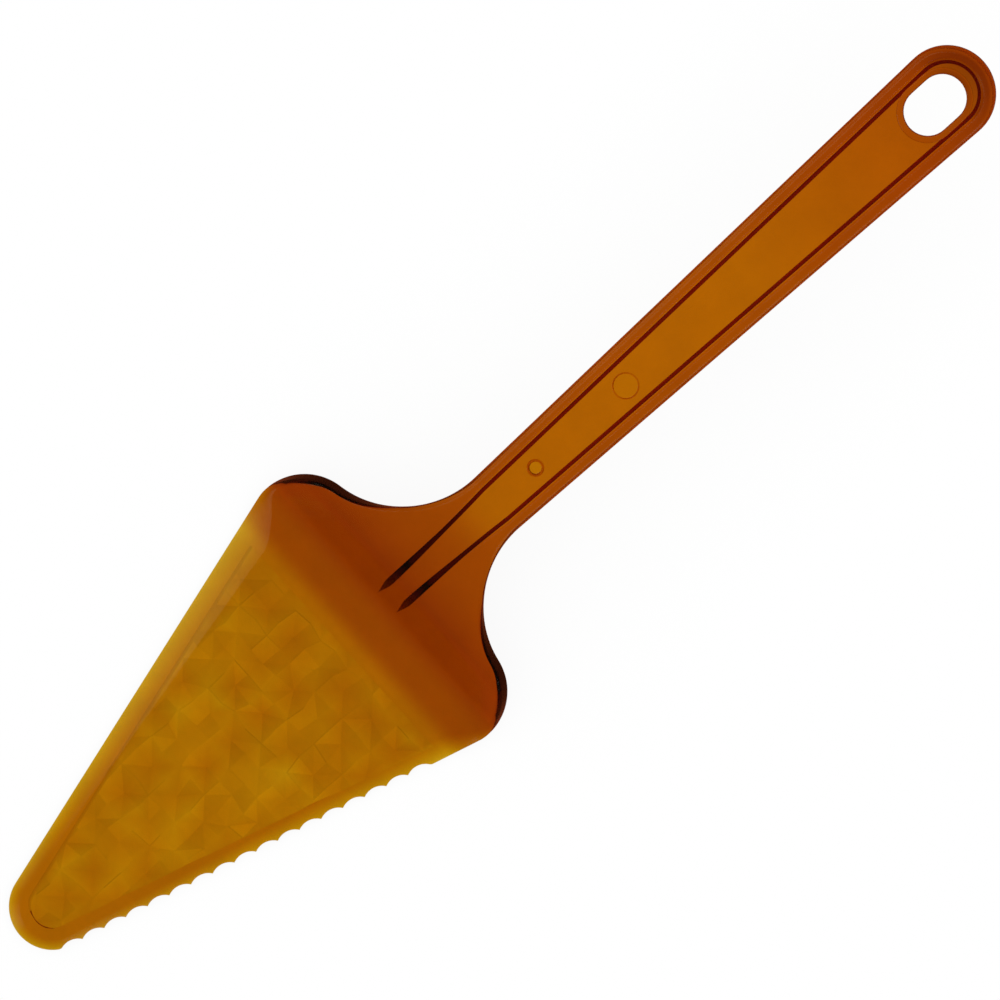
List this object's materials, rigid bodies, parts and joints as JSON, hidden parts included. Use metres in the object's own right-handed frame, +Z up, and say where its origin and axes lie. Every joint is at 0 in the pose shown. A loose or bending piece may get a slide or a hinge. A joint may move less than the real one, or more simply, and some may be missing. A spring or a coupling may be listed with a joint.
{
  "type": "cake server",
  "caption": "Translucent amber plastic cake server: triangular blade with a scalloped edge and pyramid texture, cranked shoulder, railed handle with a hanging slot.",
  "frame": {"origin": "middle of the length and width, on the surface the blade lies on", "axes": "+X along the length from the tip to the handle end, +Z up from the blade's underside; the scalloped edge is on -Y"},
  "size_m": [0.27, 0.069, 0.0385],
  "materials": {
    "blade_amber": "polished, see-through amber",
    "shoulder_amber": "polished, see-through amber",
    "left_rail_amber": "polished, see-through amber",
    "right_rail_amber": "polished, see-through amber",
    "handle_panel_amber": "polished, see-through amber",
    "hanging_loop_amber": "polished, see-through amber"
  },
  "bodies": {
    "root": {"blade": "blade_amber", "shoulder": "shoulder_amber", "left_rail": "left_rail_amber", "right_rail": "right_rail_amber", "handle_panel": "handle_panel_amber", "hanging_loop": "hanging_loop_amber"}
  },
  "joints": []
}
